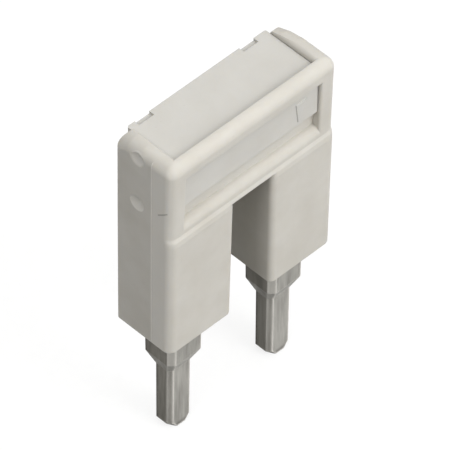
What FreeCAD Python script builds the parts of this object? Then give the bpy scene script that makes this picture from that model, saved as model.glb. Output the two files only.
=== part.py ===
import FreeCAD, Part
import Sketcher
import os

os.makedirs("parts", exist_ok=True)
doc = FreeCAD.newDocument("jumper_bar")
sheet = doc.addObject("Spreadsheet::Sheet", "Sizes")


class Size:
    """A length: its number, and the sheet expression that gives the same number."""

    def __init__(self, value, text):
        self.value = value
        self.text = text

    def __add__(self, other):
        return Size(self.value + other.value, "(%s + %s)" % (self.text, other.text))

    def __sub__(self, other):
        return Size(self.value - other.value, "(%s - %s)" % (self.text, other.text))

    def __mul__(self, factor):
        return Size(self.value * factor, "(%s * %s)" % (self.text, factor))

    def __neg__(self):
        return self * -1


def size(alias, value, meaning):
    """Write one driving size into the sheet and hand it back."""
    row = size.count = size.count + 1
    sheet.set("A%d" % row, meaning)
    sheet.set("B%d" % row, str(value))
    sheet.setAlias("B%d" % row, alias)
    return Size(float(value), "Sizes.%s" % alias)


size.count = 0

# Driving sizes in millimetres.
# The pins stand on the X axis, the window faces -Y and the feet of the legs are at Z = 0.
pitch = size("pin_pitch", 25.0, "distance between the two pins")
fit_gap = size("fit_gap", 0.15, "gap between a moulding and what it holds")
beyond = size("beyond", 1.0, "how far a cut runs past the face it starts from")

end_wall = size("end_wall", 3.2, "wall between the copper bar and the end of the housing")
inner_wall = size("inner_wall", 3.25, "wall between the copper bar and the gap")
length_draft = size("length_draft", 0.1, "growth of the half length up to the head")
front_wall = size("front_wall", 2.8, "wall in front of the copper bar at the foot of a leg")
leg_lean = size("leg_lean", 0.35, "forward lean of the front of a leg")
rear_wall = size("rear_wall", 2.3, "wall behind the copper bar")
leg_height = size("leg_height", 28.5, "foot to the crown of the gap")
ledge_depth = size("ledge_depth", 0.45, "step in the front above the legs")
ledge_rise = size("ledge_rise", 0.75, "height of that slope above the crown of the gap")
ledge_drop = size("ledge_drop", 1.0, "height of its gentle start below the crown")
ledge_ease = size("ledge_ease", 0.12, "part of the step that lies in this start")
head_lean = size("head_lean", 0.45, "forward lean of the front of the head")
gap_draft = size("gap_draft", 0.15, "narrowing of the half gap up to its crown")
corner_round = size("corner_round", 1.7, "round of the outer upright front corners")
gap_round = size("gap_round", 1.2, "round of the front corners of the gap")
rear_round = size("rear_round", 0.5, "round of the upright rear corners")
foot_round = size("foot_round", 0.4, "round of the lower edges of a leg")
rim_round = size("rim_round", 2.15, "round of the top outer edge")
rim_soft = size("rim_soft", 0.8, "round of the inner edges of the end rims")
fall_clear = size("fall_clear", 0.06, "gap between the tool that cuts this fall and the end face")
fall_bend = size("fall_bend", 4.0, "pins to the place where the end rims fall faster")
fall_slow = size("fall_slow", 0.3, "fall of the end rims up to there")
fall_full = size("fall_full", 1.0, "fall of the end rims just behind the rear face")
round_slow = size("round_slow", 2.6, "outer round of the end rims at the bend")
round_full = size("round_full", 3.6, "outer round of the end rims just behind the rear face")
fall_wall = size("fall_wall", 5.5, "height of the end wall that the fall is cut from")

bar_width = size("bar_width", 8.6, "width of a leg of the copper bar")
bar_depth = size("bar_depth", 7.9, "thickness of the copper bar")
crown_wall = size("crown_wall", 2.5, "floor of the chamber above the gap")
bridge_rise = size("bridge_rise", 8.5, "height of the copper bridge")
bridge_round = size("bridge_round", 1.2, "round of the upper corners of the bridge")
shoulder_top = size("shoulder_top", 2.0, "height in the leg where the coined shoulder begins")
shoulder_drop = size("shoulder_drop", 8.3, "foot to the lower end of the shoulder")
shoulder_draft = size("shoulder_draft", 0.1, "narrowing of the shoulder on each side")
shoulder_bevel = size("shoulder_bevel", 1.1, "bevel of the upright edges of the shoulder")
neck_length = size("neck_length", 3.4, "shoulder to blade")
blade_length = size("blade_length", 15.6, "top of the blade to the tip")
blade_width = size("blade_width", 5.8, "width of the blade at its top")
blade_depth = size("blade_depth", 4.4, "thickness of the blade at its top")
blade_draft = size("blade_draft", 0.05, "narrowing of the blade on each side")
blade_bevel = size("blade_bevel", 0.85, "bevel of the upright edges of the blade")
tip_inset = size("tip_inset", 1.6, "inward run of the bevel on each side of the tip")
tip_rise = size("tip_rise", 1.35, "height of that bevel")
tip_bevel = size("tip_bevel", 0.3, "bevel left on the upright edges at the tip")

head_room = size("head_room", 4.45, "bridge to the top plate of the cover")
cover_front = size("cover_front", 4.75, "pins to the front edge of the top plate")
cover_jut = size("cover_jut", 0.9, "top plate beyond the rear face")
plate_thick = size("plate_thick", 1.65, "thickness of the top plate")
rim_rise = size("rim_rise", 1.25, "rim above the top plate")
plate_corner = size("plate_corner", 0.4, "round of the rear corners of the top plate")
rim_bar = size("rim_bar", 3.65, "height of the front rim bar above the window")
window_margin = size("window_margin", 0.5, "chamber beyond each end of the window")
rail_height = size("rail_height", 0.5, "upright face between the ledge and the round of the sill")
sill_round = size("sill_round", 1.75, "round of the front edge of the sill")
jamb_round = size("jamb_round", 0.5, "round of the side edges of the window")
panel_sunk = size("panel_sunk", 1.0, "window panel behind the front of the housing")
web_thick = size("web_thick", 1.5, "thickness of the web behind the window panel")
view_slot = size("view_slot", 4.0, "open height between the sill and the window panel")
notch_left = size("notch_left", 1.8, "left end of the top plate to its prying notch")
notch_right = size("notch_right", 2.9, "right end of the top plate to its prying notch")
notch_length = size("notch_length", 3.55, "length of a prying notch")
notch_reach = size("notch_reach", 1.2, "reach of a prying notch from the rear edge")
notch_depth = size("notch_depth", 0.6, "depth of a prying notch")
rib_offset = size("rib_offset", 8.0, "middle to a hold-down rib of the cover")
rib_thick = size("rib_thick", 1.2, "thickness of a hold-down rib")
rib_half = size("rib_half", 3.0, "half length of a hold-down rib")
mark_ball = size("mark_ball", 3.25, "ball radius of the round marks on the left end")
mark_depth = size("mark_depth", 0.5, "depth of the round marks")
mark_back = size("mark_back", 1.25, "round marks behind the pins")
mark_low = size("mark_low", 13.3, "rim to the middle of the lower mark")
mark_high = size("mark_high", 2.2, "rim to the middle of the upper mark, which the rim cuts")
doc.recompute()

bar_half = bar_width * 0.5
chamber_half = pitch * 0.5 + bar_half + fit_gap
chamber_deep = bar_depth * 0.5 + fit_gap
half_length = chamber_half + end_wall
top_half = half_length + length_draft
gap_half = pitch * 0.5 - bar_half - fit_gap - inner_wall
gap_top = gap_half - gap_draft
front = chamber_deep + front_wall
rear = chamber_deep + rear_wall
leg_front = front + leg_lean
crown_front = leg_front - ledge_ease
head_front = leg_front - ledge_depth
top_front = head_front + head_lean

bridge_floor = leg_height + crown_wall
bridge_top = bridge_floor + bridge_rise
plate_under = bridge_top + head_room
plate_top = plate_under + plate_thick
rim_top = plate_top + rim_rise
bar_under = rim_top - rim_bar
sill = leg_height + ledge_rise + rail_height + sill_round

cover_half = chamber_half - fit_gap
cover_rear = rear + cover_jut
window_half = chamber_half - window_margin
window_back = head_front - sill_round
sides = ((-1, "left"), (1, "right"))


def new_body(label):
    body = doc.addObject("PartDesign::Body", label)
    body.Label = label
    doc.recompute()
    return body


def origin_plane(body, role):
    return [item for item in body.Origin.OriginFeatures if item.Role == role][0]


def tie(sketch, kind, index, end, length):
    """Hold one coordinate of a point of the sketch at a length from the sheet."""
    number = sketch.addConstraint(Sketcher.Constraint(kind, -1, 1, index, end, length.value))
    sketch.setExpression("Constraints[%d]" % number, length.text)


def spot(point):
    return FreeCAD.Vector(point[0].value, point[1].value, 0)


def outline(body, name, role, offset, corners):
    """Sketch a closed outline of lines with rounded or bevelled corners.

    A corner is (x, y), (x, y, radius) or (x, y, bevel, "bevel"). A rounded or bevelled
    corner stands between a level and an upright side.
    """
    sketch = body.newObject("Sketcher::SketchObject", name)
    sketch.AttachmentSupport = [(origin_plane(body, role), "")]
    sketch.MapMode = "FlatFace"
    sketch.setExpression("AttachmentOffset.Base.z", offset.text)
    count = len(corners)
    ends = []
    for i, here in enumerate(corners):
        x, y = here[0], here[1]
        if len(here) == 2:
            ends.append(((x, y), (x, y)))
            continue
        pair = []
        for other in (corners[i - 1], corners[(i + 1) % count]):
            run_x = other[0].value - x.value
            run_y = other[1].value - y.value
            if abs(run_x) > abs(run_y):
                pair.append((x + here[2] * (1 if run_x > 0 else -1), y))
            else:
                pair.append((x, y + here[2] * (1 if run_y > 0 else -1)))
        ends.append(tuple(pair))

    lines = []
    for i in range(count):
        start, stop = ends[i][1], ends[(i + 1) % count][0]
        index = sketch.addGeometry(Part.LineSegment(spot(start), spot(stop)), False)
        for end, point in ((1, start), (2, stop)):
            tie(sketch, "DistanceX", index, end, point[0])
            tie(sketch, "DistanceY", index, end, point[1])
        lines.append(index)
    for i, here in enumerate(corners):
        if len(here) == 2:
            continue
        first, second = spot(ends[i][0]), spot(ends[i][1])
        order = (1, 2)
        if len(here) == 4:
            index = sketch.addGeometry(Part.LineSegment(first, second), False)
        else:
            corner = spot(here)
            centre = first + second - corner
            middle = centre + (corner - centre).normalize() * here[2].value
            index = sketch.addGeometry(Part.Arc(first, middle, second), False)
            number = sketch.addConstraint(Sketcher.Constraint("Radius", index, here[2].value))
            sketch.setExpression("Constraints[%d]" % number, here[2].text)
            if (first - centre).cross(second - centre).z < 0:
                order = (2, 1)
        sketch.addConstraint(Sketcher.Constraint("Coincident", lines[i - 1], 2, index, order[0]))
        sketch.addConstraint(Sketcher.Constraint("Coincident", index, order[1], lines[i], 1))
    doc.recompute()
    return sketch


def rectangle(x0, x1, y0, y1):
    return [(x0, y0), (x1, y0), (x1, y1), (x0, y1)]


def loft(body, name, kind, sketches):
    """A straight-sided solid through the outlines, added to the body or cut from it."""
    before = body.Shape.Volume if body.Tip else 0
    feature = body.newObject("PartDesign::" + kind, name)
    feature.Profile = sketches[0]
    feature.Sections = sketches[1:]
    feature.Ruled = True
    doc.recompute()
    if (body.Shape.Volume > before) != (kind == "AdditiveLoft"):
        raise RuntimeError(name + " changed the body the wrong way")
    return feature


def extrude(body, name, kind, sketch, length, reverse=False):
    """A pad or a pocket whose length comes from the sheet."""
    before = body.Shape.Volume if body.Tip else 0
    feature = body.newObject("PartDesign::" + kind, name)
    feature.Profile = sketch
    feature.setExpression("Length", length.text)
    feature.Reversed = reverse
    doc.recompute()
    if (body.Shape.Volume > before) != (kind == "Pad"):
        raise RuntimeError(name + " changed the body the wrong way")
    return feature


def round_edges(body, name, radius, wanted):
    """Round the edges of the body whose box passes the test."""
    base = body.Tip
    names = ["Edge%d" % number for number, edge in enumerate(base.Shape.Edges, 1)
             if wanted(edge.BoundBox)]
    feature = body.newObject("PartDesign::Fillet", name)
    feature.Base = (base, names)
    feature.setExpression("Radius", radius.text)
    doc.recompute()
    return feature


def near(a, b):
    return abs(a - b) < 0.02


# Housing: one pale moulding with a head, a rim and two legs.
# The head steps back a little above the legs and then leans forward up to the rim.
housing = new_body("housing")
loft(housing, "head", "AdditiveLoft", [
    outline(housing, name, "XY_Plane", height, [
        (-top_half, -face, corner_round),
        (top_half, -face, corner_round),
        (top_half, rear, rear_round),
        (-top_half, rear, rear_round)])
    for name, height, face in (
        ("head_foot", leg_height, crown_front),
        ("head_step", leg_height + ledge_rise, head_front),
        ("head_top", rim_top, top_front))])

# Each leg narrows a little towards its foot. The slope of the step starts on the leg.
for side, word in sides:
    levels = []
    for name, height, outer, inner, face in (
            ("top", leg_height, top_half, gap_top, crown_front),
            ("ledge", leg_height - ledge_drop, top_half, gap_top, leg_front),
            ("foot", leg_height * 0, half_length, gap_half, front)):
        outer_front = (outer * side, -face, corner_round)
        inner_front = (inner * side, -face, gap_round)
        inner_rear = (inner * side, rear, rear_round)
        outer_rear = (outer * side, rear, rear_round)
        levels.append(outline(housing, "%s_leg_%s" % (word, name), "XY_Plane", height,
                              [outer_front, inner_front, inner_rear, outer_rear]))
    loft(housing, word + "_leg", "AdditiveLoft", levels)
round_edges(housing, "foot_edges", foot_round,
            lambda box: near(box.ZMax, 0) and near(box.ZMin, 0))

round_edges(housing, "rim_edges", rim_round,
            lambda box: near(box.ZMin, rim_top.value)
            and box.YMin < (rear - rear_round).value - 0.1)

# Towards the rear the end rims fall away and their round grows.
for side, word in sides:
    levels = []
    for name, depth, fall, reach in (
            ("middle", fall_bend * 0, -fall_clear, rim_round),
            ("bend", fall_bend, fall_slow, round_slow),
            ("rear", rear + beyond, fall_full, round_full)):
        inner = (chamber_half - beyond) * side
        outer = (top_half + fall_clear) * side
        outside = (top_half + beyond) * side
        crest = rim_top - fall
        over = rim_top + beyond
        low = rim_top - fall_wall
        levels.append(outline(housing, "%s_rim_%s" % (word, name), "XZ_Plane", -depth,
                              [(inner, crest), (outer, crest, reach), (outer, low),
                               (outside, low), (outside, over), (inner, over)]))
    loft(housing, word + "_rim_fall", "SubtractiveLoft", levels)

# Chamber for the copper bridge, open to the top, and a bore down each leg.
chamber = outline(housing, "chamber_plan", "XY_Plane", rim_top + beyond,
                  rectangle(-chamber_half, chamber_half, -chamber_deep, chamber_deep))
extrude(housing, "chamber", "Pocket", chamber, rim_top + beyond - bridge_floor)
for side, word in sides:
    reach = bar_half + fit_gap
    middle = pitch * (0.5 * side)
    bore = outline(housing, word + "_bore_plan", "XY_Plane", bridge_floor + beyond,
                   rectangle(middle - reach, middle + reach, -chamber_deep, chamber_deep))
    extrude(housing, word + "_bore", "Pocket", bore, bridge_floor + beyond * 2)

# Seat of the top plate, open to the rear, between end rims with rounded inner edges.
seat = outline(housing, "seat_plan", "XY_Plane", rim_top + beyond,
               rectangle(-chamber_half, chamber_half, -cover_front - fit_gap, rear + beyond))
extrude(housing, "seat", "Pocket", seat, rim_top + beyond - plate_under)
for side, word in sides:
    inside = (chamber_half - beyond) * side
    edge = chamber_half * side
    outside = (chamber_half + rim_soft + fit_gap) * side
    soft = outline(housing, word + "_soft_outline", "XZ_Plane", cover_front + fit_gap,
                   [(edge, plate_top), (edge, rim_top, rim_soft), (outside, rim_top),
                    (outside, rim_top + beyond), (inside, rim_top + beyond),
                    (inside, plate_top)])
    extrude(housing, word + "_soft_edge", "Pocket", soft,
            cover_front + fit_gap + rear + beyond)

# Front window: a recess for the panel of the cover, and a slot at its top for the web.
web_top = bar_under - fit_gap
web_under = web_top - web_thick
for name, low, depth in (("window", sill, window_back),
                         ("web_slot", web_under - fit_gap, chamber_deep - fit_gap)):
    opening = outline(housing, name + "_outline", "XZ_Plane", top_front + beyond,
                      rectangle(-window_half, window_half, low, bar_under))
    extrude(housing, name, "Pocket", opening, top_front + beyond - depth)
round_edges(housing, "sill_edge", sill_round,
            lambda box: near(box.ZMin, sill.value) and near(box.ZMax, sill.value)
            and near(box.YMin, box.YMax) and box.YMax < -head_front.value
            and box.XLength > window_half.value)
round_edges(housing, "jamb_edges", jamb_round,
            lambda box: near(abs(box.XMin), window_half.value) and near(box.XMin, box.XMax)
            and box.YMax < -head_front.value and box.ZLength > jamb_round.value * 4)

# Two round marks in the left end face.
for word, drop in (("lower", mark_low), ("upper", mark_high)):
    mark = housing.newObject("PartDesign::SubtractiveSphere", word + "_mark")
    mark.AttachmentSupport = [(origin_plane(housing, "XY_Plane"), "")]
    mark.MapMode = "FlatFace"
    mark.setExpression("Radius", mark_ball.text)
    mark.setExpression("AttachmentOffset.Base.x", (mark_depth - top_half - mark_ball).text)
    mark.setExpression("AttachmentOffset.Base.y", mark_back.text)
    mark.setExpression("AttachmentOffset.Base.z", (rim_top - drop).text)
    doc.recompute()

# Cover: the greyer insert. A web under the rim bar joins its top plate to the window panel.
cover = new_body("cover")
plate = outline(cover, "plate_plan", "XY_Plane", plate_under,
                [(-cover_half, -cover_front), (cover_half, -cover_front),
                 (cover_half, cover_rear, plate_corner), (-cover_half, cover_rear, plate_corner)])
extrude(cover, "plate", "Pad", plate, plate_thick)
panel_half = window_half - fit_gap
panel_front = top_front - panel_sunk
panel_back = window_back + fit_gap
panel_under = sill + view_slot
web_front = chamber_deep - fit_gap
web_back = web_front - web_thick
panel = outline(cover, "panel_profile", "YZ_Plane", -panel_half,
                [(-panel_front, panel_under), (-panel_back, panel_under),
                 (-panel_back, web_under), (-web_back, web_under), (-web_back, plate_under),
                 (-web_front, plate_under), (-web_front, web_top), (-panel_front, web_top)])
extrude(cover, "panel", "Pad", panel, panel_half * 2)

# Two ribs under the plate hold the copper bridge down.
for side, word in sides:
    middle = rib_offset * side
    rib = outline(cover, word + "_rib_plan", "XY_Plane", plate_under,
                  rectangle(middle - rib_thick * 0.5, middle + rib_thick * 0.5,
                            -rib_half, rib_half))
    extrude(cover, word + "_rib", "Pad", rib, head_room - fit_gap, True)

# Two prying notches in the rear edge of the plate.
for word, start in (("left", notch_left - cover_half),
                    ("right", cover_half - notch_right - notch_length)):
    notch = outline(cover, word + "_notch_plan", "XY_Plane", plate_top,
                    rectangle(start, start + notch_length,
                              cover_rear - notch_reach, cover_rear + beyond))
    extrude(cover, word + "_notch", "Pocket", notch, notch_depth)

# Copper bar: a thick U in one piece with its two plug-in pins.
bar = new_body("copper_bar")
outer = pitch * 0.5 + bar_half
inner = pitch * 0.5 - bar_half
yoke = outline(bar, "yoke_outline", "XZ_Plane", bar_depth * -0.5,
               [(-outer, shoulder_top), (-inner, shoulder_top), (-inner, bridge_floor),
                (inner, bridge_floor), (inner, shoulder_top), (outer, shoulder_top),
                (outer, bridge_top, bridge_round), (-outer, bridge_top, bridge_round)])
extrude(bar, "yoke", "Pad", yoke, bar_depth)

# Each pin: a coined shoulder, a short four-sided neck and a blade with bevelled edges.
for side, word in sides:
    shoulder_end = -shoulder_drop
    neck_end = shoulder_end - neck_length
    tip = neck_end - blade_length
    end_width = blade_width - blade_draft * 2
    end_depth = blade_depth - blade_draft * 2
    levels = []
    for name, height, width, depth, bevel in (
            ("root", shoulder_top, bar_width, bar_depth, shoulder_bevel),
            ("shoulder", shoulder_end, bar_width - shoulder_draft * 2,
             bar_depth - shoulder_draft * 2, shoulder_bevel),
            ("neck", neck_end, blade_width, blade_depth, blade_bevel),
            ("blade", tip + tip_rise, end_width, end_depth, blade_bevel),
            ("tip", tip, end_width - tip_inset * 2, end_depth, tip_bevel)):
        middle = pitch * (0.5 * side)
        x0, x1 = middle - width * 0.5, middle + width * 0.5
        y0, y1 = depth * -0.5, depth * 0.5
        levels.append(outline(bar, "%s_pin_%s" % (word, name), "XY_Plane", height,
                              [corner + (bevel, "bevel") for corner in rectangle(x0, x1, y0, y1)]))
    loft(bar, word + "_pin", "AdditiveLoft", levels)

doc.recompute()
for item in doc.Objects:
    if "Invalid" in item.State or "Error" in item.State:
        raise RuntimeError("%s is not valid: %s" % (item.Name, item.State))
for body in (housing, cover, bar):
    shape = body.Shape
    if shape.isNull() or not shape.isValid() or len(shape.Solids) != 1:
        raise RuntimeError(body.Label + " has no sound solid")
    shape.exportStep("parts/%s.step" % body.Label)
    print(body.Label, round(shape.Volume, 1), "cubic millimetres,", len(shape.Faces), "faces")
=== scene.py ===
import math
import bmesh
import bpy
from mathutils import Matrix, Vector


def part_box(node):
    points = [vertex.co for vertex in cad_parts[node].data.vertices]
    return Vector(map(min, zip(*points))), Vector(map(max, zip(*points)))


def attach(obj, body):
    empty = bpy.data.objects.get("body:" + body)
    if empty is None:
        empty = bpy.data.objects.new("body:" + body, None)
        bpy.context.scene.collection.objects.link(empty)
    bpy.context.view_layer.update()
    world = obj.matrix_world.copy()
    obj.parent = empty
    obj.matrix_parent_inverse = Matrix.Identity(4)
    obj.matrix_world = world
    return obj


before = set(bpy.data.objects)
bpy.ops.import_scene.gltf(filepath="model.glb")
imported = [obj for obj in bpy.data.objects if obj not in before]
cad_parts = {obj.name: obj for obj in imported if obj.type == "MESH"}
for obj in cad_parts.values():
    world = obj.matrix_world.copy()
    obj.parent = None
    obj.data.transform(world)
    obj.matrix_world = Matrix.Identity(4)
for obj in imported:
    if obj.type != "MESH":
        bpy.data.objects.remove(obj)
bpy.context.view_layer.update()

# Camera: a long lens that looks down on the object from its left front.
# Its direction, distance and lens were fitted to the corners of the housing and the pins.
mm = 0.001
turn, climb, roll = math.radians(-45.156), math.radians(47.023), math.radians(0.781)
level = Vector((math.cos(turn), math.sin(turn), 0))
back = Vector((math.sin(turn) * math.cos(climb), -math.cos(turn) * math.cos(climb),
               math.sin(climb)))
upright = back.cross(level)
right = level * math.cos(roll) + upright * math.sin(roll)
up = upright * math.cos(roll) - level * math.sin(roll)
aim = Vector((0, -0.25, 12)) * mm
distance, shift_left, shift_up = 1292.7 * mm, 0.062 * mm, 1.338 * mm
place = aim + back * distance - right * shift_left + up * shift_up
camera_data = bpy.data.cameras.new("camera")
camera_data.sensor_width = 36
camera_data.lens = 586.56
camera_data.clip_end = 10
camera = bpy.data.objects.new("camera", camera_data)
camera.matrix_world = Matrix.Translation(place) @ Matrix((right, up, back)).transposed().to_4x4()
bpy.context.scene.collection.objects.link(camera)
bpy.context.scene.camera = camera


# Housing: one injection moulding in light, warm grey glass-filled nylon.
# It has the fine spark-eroded grain of its mould, a little cloudiness where the melt
# cooled, and painted highlights that make its edges lighter.
def fill(tree, inputs, values):
    """Fills a node's inputs, each with a plain value or with the socket that feeds it."""
    for key, value in values.items():
        if isinstance(value, bpy.types.NodeSocket):
            tree.links.new(value, inputs[key])
        else:
            inputs[key].default_value = value


def add_node(tree, kind, inputs=None, **settings):
    """Adds a shader node with its settings and the values of its inputs."""
    node = tree.nodes.new(kind)
    for name, value in settings.items():
        setattr(node, name, value)
    fill(tree, node.inputs, inputs or {})
    return node


def new_group(name, inputs, outputs):
    """Makes a shader group from (name, kind, default) inputs and (name, kind) outputs."""
    group = bpy.data.node_groups.new(name, "ShaderNodeTree")
    for label, kind, value in inputs:
        socket = group.interface.new_socket(label, in_out="INPUT", socket_type=kind)
        socket.default_value = value
    for label, kind in outputs:
        group.interface.new_socket(label, in_out="OUTPUT", socket_type=kind)
    given = group.nodes.new("NodeGroupInput").outputs
    result = group.nodes.new("NodeGroupOutput").inputs
    return group, given, result


def coordinates(tree, reading):
    """The place on the piece, or the direction that its surface faces."""
    return add_node(tree, "ShaderNodeTexCoord").outputs[reading]


def split(tree, vector):
    """Splits a place or a direction into X, Y and Z."""
    return add_node(tree, "ShaderNodeSeparateXYZ", {0: vector}).outputs


def maths(tree, operation, one, two=0.0):
    """Works out one number from two."""
    return add_node(tree, "ShaderNodeMath", {0: one, 1: two}, operation=operation).outputs[0]


def vector_maths(tree, operation, one, two):
    """Works out a vector from two, or a number where the operation gives one."""
    node = add_node(tree, "ShaderNodeVectorMath", {0: one, 1: two}, operation=operation)
    return node.outputs["Value" if operation in ("DOT_PRODUCT", "DISTANCE") else "Vector"]


def noise(tree, spot, scale, detail, roughness=0.5):
    """Cloudy noise between nought and one."""
    return add_node(tree, "ShaderNodeTexNoise", {
        "Vector": spot, "Scale": scale, "Detail": detail, "Roughness": roughness}).outputs["Fac"]


def spread(tree, value, low, high, to_low, to_high):
    """Maps a value from one range to another, held at the ends."""
    return add_node(tree, "ShaderNodeMapRange", {
        "Value": value, "From Min": low, "From Max": high,
        "To Min": to_low, "To Max": to_high}).outputs["Result"]


def all_of(tree, mask, *others):
    """Multiplies masks, so that only what they share is left."""
    for other in others:
        mask = maths(tree, "MULTIPLY", mask, other)
    return mask


def tint(tree, mask, under, over, blend="MIX"):
    """Lays one colour over another through a mask and returns the mixed colour."""
    return add_node(tree, "ShaderNodeMix", {0: mask, 6: under, 7: over},
                    data_type="RGBA", blend_type=blend).outputs[2]


# Painted highlights: a patchy mask of the sharp edges, where the materials paint lighter colour.
edge_highlights, highlight_given, highlight_result = new_group(
    "edge_highlights",
    [("Width", "NodeSocketFloat", 0.3 * mm), ("Patchiness", "NodeSocketFloat", 0.5)],
    [("Mask", "NodeSocketFloat")])
surface = add_node(edge_highlights, "ShaderNodeNewGeometry")
softened = add_node(edge_highlights, "ShaderNodeBevel", {"Radius": highlight_given["Width"]}, samples=6)
likeness = vector_maths(edge_highlights, "DOT_PRODUCT",
                        surface.outputs["Normal"], softened.outputs["Normal"])
sharpness = spread(edge_highlights, likeness, 0.99, 0.8, 0.0, 1.0)
patches = noise(edge_highlights, coordinates(edge_highlights, "Object"), 420.0, 4.0)
missed = all_of(edge_highlights, spread(edge_highlights, patches, 0.4, 0.65, 0.0, 1.0),
                highlight_given["Patchiness"])
kept = maths(edge_highlights, "SUBTRACT", 1.0, missed)
fill(edge_highlights, highlight_result, {"Mask": all_of(edge_highlights, sharpness, kept)})

moulded_skin, skin_given, skin_result = new_group(
    "moulded_skin",
    [("Colour", "NodeSocketColor", (0.6, 0.6, 0.6, 1)),
     ("Cloudiness", "NodeSocketFloat", 0.05),
     ("Grain size", "NodeSocketFloat", 0.25 * mm)],
    [("Colour", "NodeSocketColor"), ("Roughness", "NodeSocketFloat"),
     ("Height", "NodeSocketFloat")])
skin_spot = coordinates(moulded_skin, "Object")
clouds = noise(moulded_skin, skin_spot, 130.0, 5.0, 0.6)
specks = noise(moulded_skin, skin_spot, 1900.0, 2.0)
grain_scale = maths(moulded_skin, "DIVIDE", 1.0, skin_given["Grain size"])
grain = noise(moulded_skin, skin_spot, grain_scale, 3.0)
darker = tint(moulded_skin, 1.0, skin_given["Colour"], (0.80, 0.78, 0.74, 1), "MULTIPLY")
cloud_mask = all_of(moulded_skin, spread(moulded_skin, clouds, 0.35, 0.7, 0.0, 1.0),
                    skin_given["Cloudiness"])
clouded = tint(moulded_skin, cloud_mask, skin_given["Colour"], darker)
speck_mask = spread(moulded_skin, specks, 0.66, 0.8, 0.0, 0.25)
fill(moulded_skin, skin_result, {
    "Colour": tint(moulded_skin, speck_mask, clouded, darker),
    "Roughness": spread(moulded_skin, clouds, 0.3, 0.7, 0.42, 0.54),
    "Height": grain})


def new_material(name):
    """Makes a material and returns it with its tree and the inputs of its shader."""
    material = bpy.data.materials.new(name)
    material.use_nodes = True
    tree = material.node_tree
    return material, tree, tree.nodes["Principled BSDF"].inputs


def eased_relief(tree, height, strength, radius):
    """A fine relief on edges that are just off sharp."""
    relief = 0.02 * mm
    eased = add_node(tree, "ShaderNodeBevel", {"Radius": radius}, samples=4)
    return add_node(tree, "ShaderNodeBump", {
        "Height": height, "Strength": strength, "Distance": relief,
        "Normal": eased.outputs["Normal"]}).outputs["Normal"]


def moulded_plastic(name, colour, cloudiness, grain_size, marks=()):
    """A satin, slightly translucent moulding with painted highlights on its edges and its own
    marks.
    """
    material, tree, shader = new_material(name)
    skin = add_node(tree, "ShaderNodeGroup", {
        "Colour": colour + (1,), "Cloudiness": cloudiness, "Grain size": grain_size},
        node_tree=moulded_skin).outputs
    edges = add_node(tree, "ShaderNodeGroup", {"Width": 0.25 * mm, "Patchiness": 0.6},
                     node_tree=edge_highlights).outputs
    # Painted highlight: the edges are painted a tenth lighter.
    edge_highlight_colour = tuple(min(1.0, part * 1.10) for part in colour) + (1,)
    look = tint(tree, edges["Mask"], skin["Colour"], edge_highlight_colour)
    for mark in marks:
        look = mark(tree, look)
    fill(tree, shader, {
        "Base Color": look,
        "Roughness": skin["Roughness"],
        "Normal": eased_relief(tree, skin["Height"], 0.25, 0.12 * mm),
        "Subsurface Weight": 0.2,
        "Subsurface Radius": (1.0, 0.85, 0.6),
        "Subsurface Scale": 1.2 * mm,
        "IOR": 1.5,
        "Specular IOR Level": 0.12})
    return material


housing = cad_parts["housing"]
housing_low, housing_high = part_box("housing")
parting_y = -2.25 * mm
round_marks_y = 1.25 * mm
round_marks = ((33.55 * mm, 1.7 * mm), (44.65 * mm, 1.45 * mm))
# The middle and the two directions of a short dark slanting line on the left end.
slant_middle = (-20.2 * mm, -5.0 * mm, 35.24 * mm)
slant_along, slant_across = (0.0, -0.79, 0.61), (0.0, 0.61, 0.79)


def painted_end_light(tree, look):
    """Painted light: the end faces are painted lighter ahead of the parting line and on their
    two round marks.
    """
    spot = coordinates(tree, "Object")
    where = split(tree, spot)
    facing = split(tree, coordinates(tree, "Normal"))
    end_light = all_of(
        tree,
        spread(tree, where["Y"], parting_y, parting_y - 0.1 * mm, 0.0, 0.6),
        spread(tree, maths(tree, "ABSOLUTE", facing["X"]), 0.6, 0.97, 0.0, 1.0),
        spread(tree, maths(tree, "ABSOLUTE", where["X"]), 18.0 * mm, 18.5 * mm, 0.0, 1.0))
    for height, radius in round_marks:
        middle = (housing_low.x, round_marks_y, height)
        away = vector_maths(tree, "DISTANCE", spot, middle)
        round_mark = spread(tree, away, radius, radius + 0.12 * mm, 0.5, 0.0)
        end_light = maths(tree, "MAXIMUM", end_light, round_mark)
    return tint(tree, end_light, look, (0.78, 0.755, 0.70, 1))


def dark_slant(tree, look):
    """A short, slanting dark line crosses the left end between the parting line and the front
    corner.
    """
    spot = coordinates(tree, "Object")
    from_middle = vector_maths(tree, "SUBTRACT", spot, slant_middle)
    slant = spread(tree, split(tree, spot)["X"], -19.5 * mm, -19.0 * mm, 1.0, 0.0)
    for direction, half, soft in ((slant_along, 1.25 * mm, 0.2 * mm),
                                  (slant_across, 0.07 * mm, 0.12 * mm)):
        away = maths(tree, "ABSOLUTE",
                     vector_maths(tree, "DOT_PRODUCT", from_middle, direction))
        slant = all_of(tree, slant, spread(tree, away, half, half + soft, 1.0, 0.0))
    return tint(tree, slant, look, (0.42, 0.40, 0.36, 1))


def painted_gap_shade(tree, look):
    """Painted shade: the faces in the gap are painted a little darker."""
    where = split(tree, coordinates(tree, "Object"))
    facing = split(tree, coordinates(tree, "Normal"))
    gap_shade = all_of(
        tree,
        spread(tree, maths(tree, "ABSOLUTE", where["X"]), 7.0 * mm, 7.5 * mm, 1.0, 0.0),
        spread(tree, maths(tree, "ABSOLUTE", facing["X"]), 0.8, 0.99, 0.0, 1.0),
        spread(tree, where["Y"], -6.8 * mm, -3.0 * mm, 0.0, 1.0))
    return tint(tree, gap_shade, look, (0.74, 0.735, 0.72, 1), "MULTIPLY")


housing_plastic = moulded_plastic("housing_plastic", (0.640, 0.617, 0.565), 0.35, 0.22 * mm,
                                  marks=(painted_end_light, dark_slant, painted_gap_shade))
housing.material_slots[0].material = housing_plastic
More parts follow.
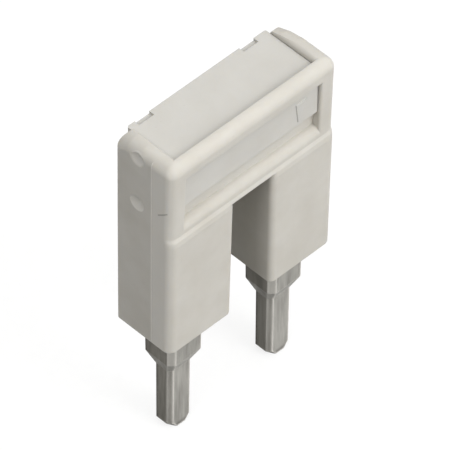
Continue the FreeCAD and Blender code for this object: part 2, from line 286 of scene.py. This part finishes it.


# Parting lines of the housing: a hair of flash stands on each end where the mould halves met.
# It is the housing's own nylon, painted lighter as a painted highlight; it climbs the end from
# the foot and dies away on the round of the rim.
def surface_under(start, direction):
    """The point where a ray meets the housing, and the direction that the skin faces there."""
    met, point, outward, face = housing.ray_cast(start, direction)
    return point, outward


def new_piece(name, shape, material):
    """Makes a finished mesh into a piece of the scene."""
    bmesh.ops.recalc_face_normals(shape, faces=shape.faces)
    mesh = bpy.data.meshes.new(name)
    shape.to_mesh(mesh)
    shape.free()
    mesh.materials.append(material)
    piece = bpy.data.objects.new(name, mesh)
    bpy.context.scene.collection.objects.link(piece)
    return piece


# Painted highlight: the flash is painted lighter than the housing, for the light that its crest
# catches.
highlit_flash_plastic = moulded_plastic("highlit_flash_plastic", (0.80, 0.775, 0.72), 0.2, 0.22 * mm)
highlit_flash_plastic.node_tree.nodes["Principled BSDF"].inputs["Subsurface Weight"].default_value = 0.0
flash_width, flash_stand, flash_depth = 0.3 * mm, 0.05 * mm, 0.03 * mm
foot_gap, top_gap, rim_round = 0.6 * mm, 2.0 * mm, 2.2 * mm
flash_rise = housing_high.z - housing_low.z - foot_gap - top_gap
rise_steps, round_steps, fade_steps = 24, 5, 6
round_step = math.radians(8)
well_outside = 5 * mm
half_width = Vector((0, flash_width / 2, 0))
half_crest = half_width * 0.45
for side, word in ((-1, "left"), (1, "right")):
    end_x = housing_low.x if side < 0 else housing_high.x
    path = []
    for step in range(rise_steps):
        height = housing_low.z + foot_gap + flash_rise * step / (rise_steps - 1)
        outside = Vector((end_x + side * well_outside, parting_y, height))
        path.append(surface_under(outside, Vector((-side, 0, 0))))
    round_middle = Vector((end_x - side * rim_round, parting_y, housing_high.z - rim_round))
    for step in range(1, round_steps + 1):
        swing = round_step * step
        ray = Vector((side * math.cos(swing), 0, math.sin(swing)))
        path.append(surface_under(round_middle + ray * (rim_round + well_outside), -ray))
    shape = bmesh.new()
    rings = []
    for index, (point, outward) in enumerate(path):
        fade = min(1.0, index / 2, (len(path) - 1 - index) / fade_steps)
        sunk = outward * -flash_depth
        crest = outward * flash_stand * max(fade, 0.1)
        rings.append([shape.verts.new(point + offset) for offset in (
            sunk - half_width, crest - half_crest, crest + half_crest, sunk + half_width)])
    for lower, upper in zip(rings, rings[1:]):
        for a in range(4):
            b = (a + 1) % 4
            shape.faces.new((lower[a], lower[b], upper[b], upper[a]))
    shape.faces.new(rings[0])
    shape.faces.new(rings[-1])
    flash = new_piece(word + "_parting_line", shape, highlit_flash_plastic)
    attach(flash, "root")

# Cover: an insert from the same kind of nylon, a shade greyer than the housing.
# Its plate closes the top and its panel fills the window in the front.
cover_plastic = moulded_plastic("cover_plastic", (0.625, 0.610, 0.570), 0.25, 0.18 * mm)
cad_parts["cover"].material_slots[0].material = cover_plastic

# Insertion mark: a plain triangle that stands proud of the window panel near its right end.
# It is moulded with the cover, and its sides lean in a little towards the crown.
mark_corners = ((10.8 * mm, 41.0 * mm), (13.5 * mm, 41.2 * mm), (11.4 * mm, 36.1 * mm))
mark_stand, mark_depth, mark_lean = 0.2 * mm, 0.1 * mm, 0.105
panel_y = -6.25 * mm
mark_middle_x = sum(x for x, z in mark_corners) / 3
mark_middle_z = sum(z for x, z in mark_corners) / 3
shape = bmesh.new()
foot, crown = [], []
for x, z in mark_corners:
    foot.append(shape.verts.new((x, panel_y + mark_depth, z)))
    crown.append(shape.verts.new((x + (mark_middle_x - x) * mark_lean, panel_y - mark_stand,
                                  z + (mark_middle_z - z) * mark_lean)))
shape.faces.new(crown)
shape.faces.new(foot)
for a in range(3):
    b = (a + 1) % 3
    shape.faces.new((foot[a], foot[b], crown[b], crown[a]))
insertion_mark = new_piece("insertion_mark", shape, cover_plastic)
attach(insertion_mark, "root")

# Copper bar: a thick U of electrolytic copper with coined pins, barrel plated in dull tin.
# Coining left fine lines along the pins. The sides that face ±X are painted darker as painted
# shade, and the edges carry painted highlights.
brushed_plate, plate_given, plate_result = new_group(
    "brushed_plate",
    [("Colour", "NodeSocketColor", (0.6, 0.6, 0.6, 1)),
     ("Dull colour", "NodeSocketColor", (0.4, 0.4, 0.4, 1))],
    [("Colour", "NodeSocketColor"), ("Roughness", "NodeSocketFloat"),
     ("Height", "NodeSocketFloat")])
plate_spot = coordinates(brushed_plate, "Object")
drawn, streaked = (add_node(brushed_plate, "ShaderNodeMapping", {
    "Vector": plate_spot, "Scale": (1.0, 1.0, squeeze)}).outputs[0] for squeeze in (0.03, 0.13))
lines = noise(brushed_plate, drawn, 3600.0, 3.0)
stains = noise(brushed_plate, streaked, 750.0, 5.0, 0.55)
lined = tint(brushed_plate, spread(brushed_plate, lines, 0.35, 0.7, 0.0, 0.25),
             plate_given["Colour"], plate_given["Dull colour"])
stain_mask = spread(brushed_plate, stains, 0.42, 0.68, 0.0, 0.5)
fill(brushed_plate, plate_result, {
    "Colour": tint(brushed_plate, stain_mask, lined, plate_given["Dull colour"]),
    "Roughness": spread(brushed_plate, stains, 0.3, 0.7, 0.42, 0.58),
    "Height": lines})


def tin_plated(name):
    """Dull tin plate: brushed, with painted shade on the sides, in hollows and along rear edges,
    and painted light on corners and front edges.
    """
    material, tree, shader = new_material(name)
    plate = add_node(tree, "ShaderNodeGroup", {
        "Colour": (0.45, 0.437, 0.403, 1), "Dull colour": (0.17, 0.162, 0.145, 1)},
        node_tree=brushed_plate).outputs
    edges = add_node(tree, "ShaderNodeGroup", {"Width": 0.7 * mm, "Patchiness": 0.35},
                     node_tree=edge_highlights).outputs
    height = split(tree, coordinates(tree, "Object"))["Z"]
    sideways = maths(tree, "ABSOLUTE", split(tree, coordinates(tree, "Normal"))["X"])
    # Painted shade: the sides that face ±X are painted darker.
    side_shaded = tint(tree, spread(tree, sideways, 0.62, 0.96, 0.0, 1.0), plate["Colour"],
                   (0.60, 0.585, 0.55, 1), "MULTIPLY")
    # Painted light: the shoulder's corner bevels are painted lighter.
    shoulder_corner_light = all_of(
        tree,
        spread(tree, sideways, 0.4, 0.6, 0.0, 0.4),
        spread(tree, sideways, 0.8, 0.95, 1.0, 0.0),
        spread(tree, height, -9.0 * mm, -8.0 * mm, 0.0, 1.0))
    corner_lit = tint(tree, shoulder_corner_light, side_shaded, (0.70, 0.68, 0.63, 1))
    # Painted shade: hollows, such as under the shoulders, are painted nearly black.
    occlusion = add_node(tree, "ShaderNodeAmbientOcclusion", {"Distance": 1.4 * mm}, samples=6)
    hollow_shade = spread(tree, occlusion.outputs["AO"], 0.7, 0.98, 0.75, 0.0)
    hollow_shaded = tint(tree, hollow_shade, corner_lit, (0.10, 0.095, 0.085, 1))
    # Painted highlight: the edges that face the front are painted light.
    rounded = add_node(tree, "ShaderNodeBevel", {"Radius": 1.2 * mm}, samples=8)
    rearward = split(tree, rounded.outputs["Normal"])["Y"]
    front_edge_highlight = all_of(
        tree,
        spread(tree, edges["Mask"], 0.02, 0.12, 0.0, 1.0),
        spread(tree, maths(tree, "ABSOLUTE", rearward), 0.5, 0.75, 0.25, 1.0))
    front_highlighted = tint(tree, front_edge_highlight, hollow_shaded, (0.80, 0.77, 0.72, 1))
    # Painted shade: a near-black strip along the rear edges of the sides that face ±X.
    rear_edge_shade = all_of(
        tree,
        spread(tree, rearward, 0.02, 0.14, 0.0, 0.85),
        spread(tree, sideways, 0.9, 0.97, 0.0, 1.0))
    fill(tree, shader, {
        "Base Color": tint(tree, rear_edge_shade, front_highlighted, (0.05, 0.047, 0.04, 1)),
        "Roughness": plate["Roughness"],
        "Normal": eased_relief(tree, plate["Height"], 0.3, 0.15 * mm),
        "Metallic": 0.05,
        "Specular IOR Level": 0.15})
    return material


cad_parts["copper_bar"].material_slots[0].material = tin_plated("tin_plate")


# Studio: a plain pale floor under the pins, soft lamps above, in front and on the left, and
# a room that grows lighter overhead. Floor and room are white when looked at, and the floor
# keeps the shadow.
def direct_view(tree):
    """One where a surface or the room is looked at, straight, mirrored or through glass."""
    seen = add_node(tree, "ShaderNodeLightPath").outputs
    straight = maths(tree, "MAXIMUM", seen["Is Camera Ray"], seen["Is Glossy Ray"])
    return maths(tree, "MAXIMUM", straight, seen["Is Transmission Ray"])


floor_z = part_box("copper_bar")[0].z - 0.02 * mm
reach = 2.0
floor_mesh = bpy.data.meshes.new("floor")
floor_mesh.from_pydata([(-reach, -reach, floor_z), (reach, -reach, floor_z),
                        (reach, reach, floor_z), (-reach, reach, floor_z)], [], [(0, 1, 2, 3)])
floor = bpy.data.objects.new("floor", floor_mesh)
bpy.context.scene.collection.objects.link(floor)
paper, paper_tree, paper_shader = new_material("paper")
fibres = noise(paper_tree, coordinates(paper_tree, "Object"), 900.0, 2.0)
fill(paper_tree, paper_shader, {
    "Base Color": tint(paper_tree, spread(paper_tree, fibres, 0.3, 0.7, 0.0, 1.0),
                       (0.22, 0.22, 0.216, 1), (0.20, 0.20, 0.196, 1)),
    "Roughness": 0.9,
    "Emission Strength": direct_view(paper_tree),
    "Emission Color": (0.8, 0.8, 0.8, 1)})
floor_mesh.materials.append(paper)

lamp_distance, lamp_size = 0.8, 0.45
lamps_aim = Vector((0, 0, 10 * mm))
for name, direction, watts in (("key_lamp", (0.2, -0.78, 0.6), 2.6),
                               ("front_lamp", (0.05, -1.0, 0.08), 1.5),
                               ("side_lamp", (-0.62, -0.2, 0.7), 1.5)):
    lamp_from = Vector(direction).normalized()
    lamp_data = bpy.data.lights.new(name, "AREA")
    lamp_data.shape = "DISK"
    lamp_data.size = lamp_size
    lamp_data.energy = watts
    lamp = bpy.data.objects.new(name, lamp_data)
    lamp.location = lamps_aim + lamp_from * lamp_distance
    lamp.rotation_euler = lamp_from.to_track_quat("Z", "Y").to_euler()
    bpy.context.scene.collection.objects.link(lamp)

room = bpy.data.worlds.new("room")
bpy.context.scene.world = room
room.use_nodes = True
room_tree = room.node_tree
room_tree.nodes.clear()
overhead = vector_maths(room_tree, "DOT_PRODUCT", coordinates(room_tree, "Generated"),
                        (0.2, -0.1, 0.95))
soft = add_node(room_tree, "ShaderNodeBackground", {
    "Color": (1, 1, 1, 1), "Strength": spread(room_tree, overhead, 0.0, 0.95, 0.0, 1.06)})
white = add_node(room_tree, "ShaderNodeBackground", {"Color": (1, 1, 1, 1), "Strength": 1.0})
mixed = add_node(room_tree, "ShaderNodeMixShader", {
    0: direct_view(room_tree), 1: soft.outputs[0], 2: white.outputs[0]})
add_node(room_tree, "ShaderNodeOutputWorld", {"Surface": mixed.outputs[0]})
bpy.context.scene.view_settings.view_transform = "Standard"

bpy.context.view_layer.update()
